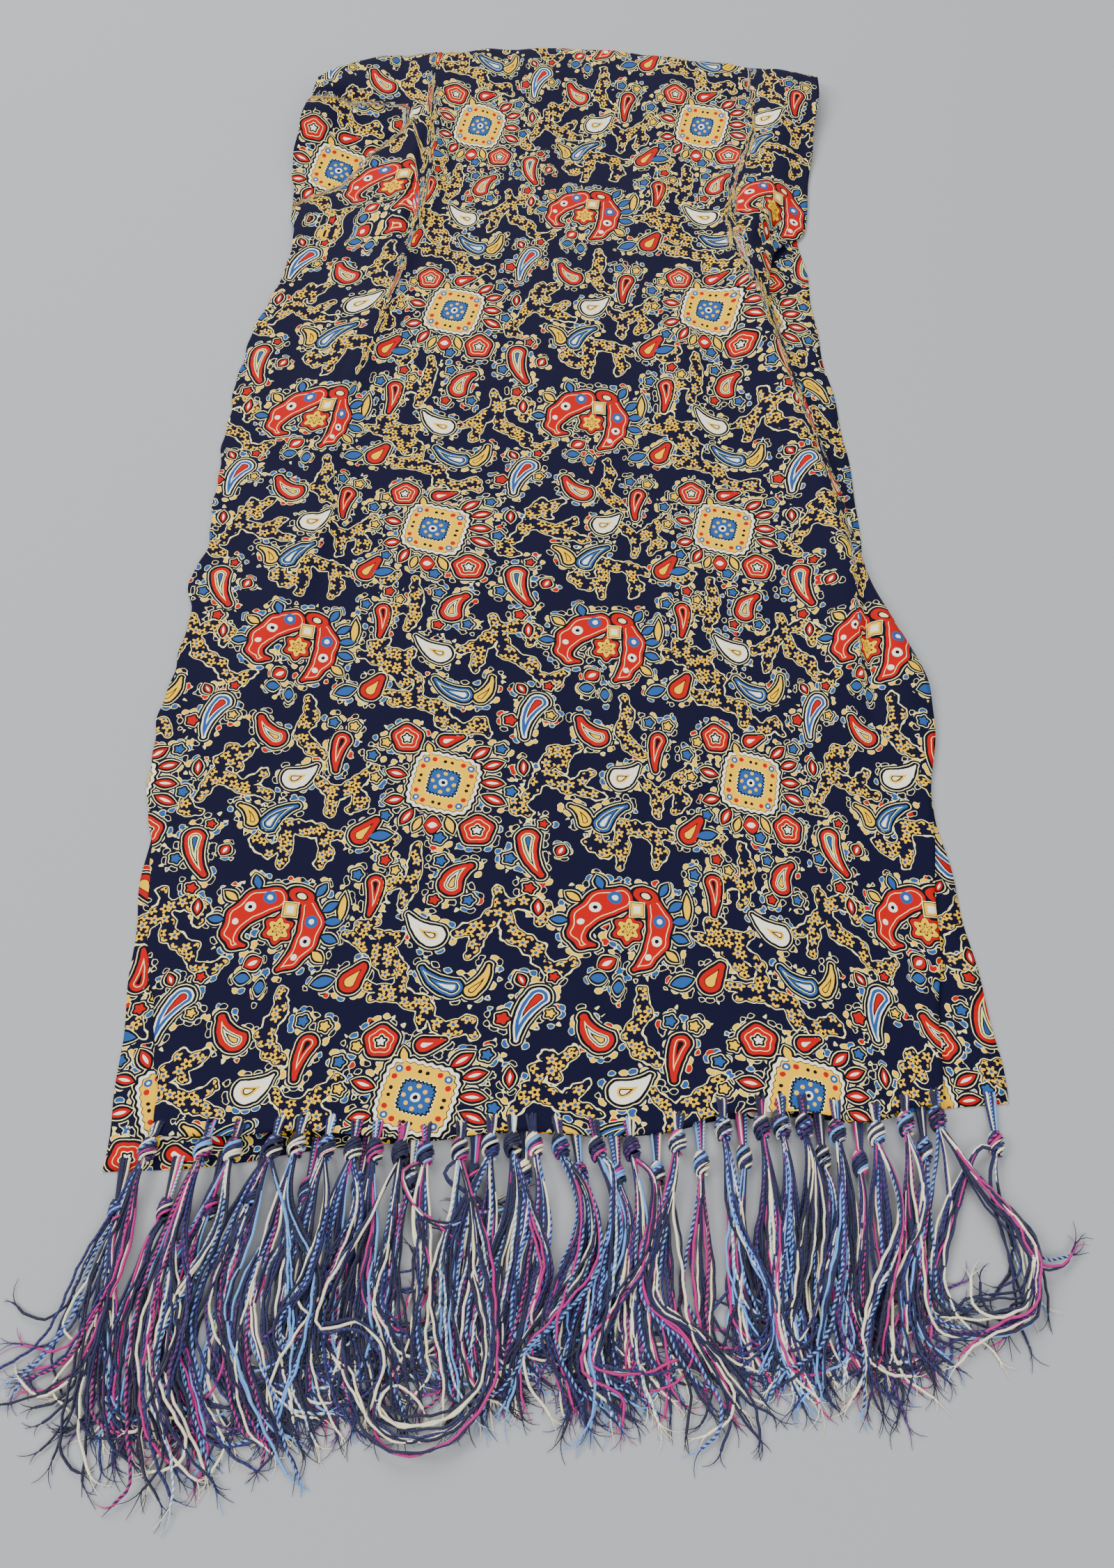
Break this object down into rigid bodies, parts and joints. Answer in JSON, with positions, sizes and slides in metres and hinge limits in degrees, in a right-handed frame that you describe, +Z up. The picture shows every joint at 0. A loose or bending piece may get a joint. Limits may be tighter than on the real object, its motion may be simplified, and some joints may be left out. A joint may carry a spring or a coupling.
{
  "type": "paisley scarf",
  "caption": "Long printed crepe scarf folded once across its length and laid flat, with knotted yarn tassels along both near hems.",
  "frame": {"origin": "on the flat underside, in the middle of the folded cloth's length and near the middle of its width", "axes": "+Y from the fringed hems towards the fold, +Z up from the surface it lies on"},
  "size_m": [0.332, 0.6847, 0.015],
  "materials": {
    "printed_crepe": "soft crepe weave in dark navy with an all-over yellow, red, blue and white paisley print, faint sheen",
    "fringe_yarn": "twisted rayon yarn, mostly dark indigo with light blue, cream and pink"
  },
  "bodies": {
    "root": {"upper_leaf": "printed_crepe", "under_leaf": "printed_crepe", "upper_tassel_01": "fringe_yarn", "upper_tassel_02": "fringe_yarn", "upper_tassel_03": "fringe_yarn", "upper_tassel_04": "fringe_yarn", "upper_tassel_05": "fringe_yarn", "upper_tassel_06": "fringe_yarn", "upper_tassel_07": "fringe_yarn", "upper_tassel_08": "fringe_yarn", "upper_tassel_09": "fringe_yarn", "upper_tassel_10": "fringe_yarn", "upper_tassel_11": "fringe_yarn", "upper_tassel_12": "fringe_yarn", "upper_tassel_13": "fringe_yarn", "upper_tassel_14": "fringe_yarn", "upper_tassel_15": "fringe_yarn", "upper_tassel_16": "fringe_yarn", "upper_tassel_17": "fringe_yarn", "upper_tassel_18": "fringe_yarn", "upper_tassel_19": "fringe_yarn", "upper_tassel_20": "fringe_yarn", "upper_tassel_21": "fringe_yarn", "upper_tassel_22": "fringe_yarn", "upper_tassel_23": "fringe_yarn", "upper_tassel_24": "fringe_yarn", "upper_tassel_25": "fringe_yarn", "upper_tassel_26": "fringe_yarn", "under_tassel_01": "fringe_yarn", "under_tassel_02": "fringe_yarn", "under_tassel_03": "fringe_yarn", "under_tassel_04": "fringe_yarn", "under_tassel_05": "fringe_yarn", "under_tassel_06": "fringe_yarn", "under_tassel_07": "fringe_yarn", "under_tassel_08": "fringe_yarn", "under_tassel_09": "fringe_yarn", "under_tassel_10": "fringe_yarn", "under_tassel_11": "fringe_yarn", "under_tassel_12": "fringe_yarn", "under_tassel_13": "fringe_yarn", "under_tassel_14": "fringe_yarn", "under_tassel_15": "fringe_yarn", "under_tassel_16": "fringe_yarn", "under_tassel_17": "fringe_yarn", "under_tassel_18": "fringe_yarn"}
  },
  "joints": []
}
